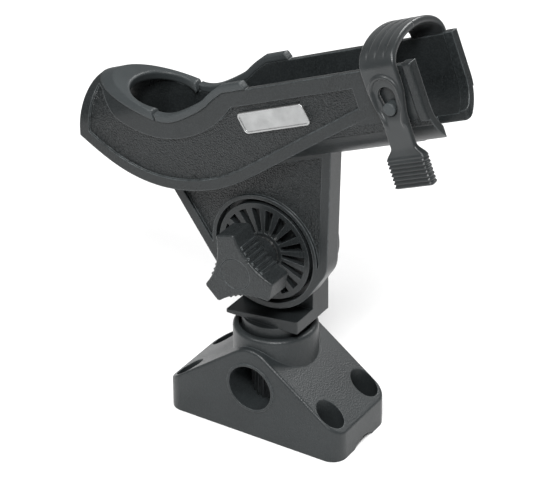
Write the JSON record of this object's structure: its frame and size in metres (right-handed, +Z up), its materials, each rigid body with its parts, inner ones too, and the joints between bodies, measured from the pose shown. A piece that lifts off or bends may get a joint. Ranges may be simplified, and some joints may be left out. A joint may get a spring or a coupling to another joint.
{
  "type": "rod holder",
  "caption": "Deck rod holder: screw-down mount with a splined swivel post, tilting open cradle with a rubber hold-down strap, and a lobed clamp knob.",
  "frame": {"origin": "centre of the mount's underside, on the swivel post's axis", "axes": "+X towards the cradle's mouth (the rod's tip), -Y towards the clamp knob, +Z up away from the deck"},
  "size_m": [0.1999, 0.0621, 0.2339],
  "materials": {
    "base_nylon": "moulded satin",
    "bracket_nylon": "moulded satin",
    "cradle_nylon": "fine moulded grain on the panels, smooth rims",
    "trim_nylon": "smooth satin",
    "disc_nylon": "moulded satin",
    "knob_nylon": "moulded satin",
    "strap_rubber": "soft sheen",
    "badge_silver": "fine satin",
    "fastener_steel": "bright",
    "insert_brass": "turned"
  },
  "bodies": {
    "mount": {"deck_mount": "base_nylon"},
    "bracket": {"swivel_bracket": "bracket_nylon", "clamp_bolt": "fastener_steel", "bolt_washer": "fastener_steel"},
    "cradle": {"cradle_body": "cradle_nylon", "hub_disc": "disc_nylon", "rear_hoop": "trim_nylon", "saddle_trim_near": "trim_nylon", "saddle_trim_far": "trim_nylon", "badge_near": "badge_silver", "badge_far": "badge_silver", "strap_stud": "trim_nylon", "strap_anchor": "trim_nylon", "strap_far_tab": "strap_rubber"},
    "washer": {"thrust_washer": "fastener_steel"},
    "knob": {"clamp_knob": "knob_nylon", "knob_insert": "insert_brass", "knob_cap": "knob_nylon"},
    "strap_band": {"strap_band": "strap_rubber"},
    "strap_tab": {"strap_tab": "strap_rubber"}
  },
  "joints": [
    {"name": "post_turn", "type": "hinge", "parent": "mount", "child": "bracket", "pos_m": [0, 0, 0.03], "axis": [0, 0, 1], "continuous": true},
    {"name": "cradle_tilt", "type": "hinge", "parent": "bracket", "child": "cradle", "pos_m": [0, 0, 0.0994], "axis": [0, -1, 0], "range_deg": [-60, 45]},
    {"name": "knob_travel", "type": "slide", "parent": "bracket", "child": "washer", "axis": [0, -1, 0], "range_m": [0, 0.0025]},
    {"name": "knob_turn", "type": "hinge", "parent": "washer", "child": "knob", "pos_m": [0, 0, 0.0994], "axis": [0, -1, 0], "range_deg": [0, 720]},
    {"name": "strap_swing", "type": "hinge", "parent": "cradle", "child": "strap_band", "pos_m": [0.06952, 0.02265, 0.21814], "axis": [-0.9304, 0, -0.3665], "range_deg": [0, 90]},
    {"name": "tab_peel", "type": "hinge", "parent": "strap_band", "child": "strap_tab", "pos_m": [0.06952, -0.02265, 0.21814], "axis": [-0.9304, 0, -0.3665], "range_deg": [0, 90]}
  ],
  "couplings": [
    {"joint": "knob_travel", "follows": "knob_turn", "m_per_rad": 0.00019894}
  ]
}
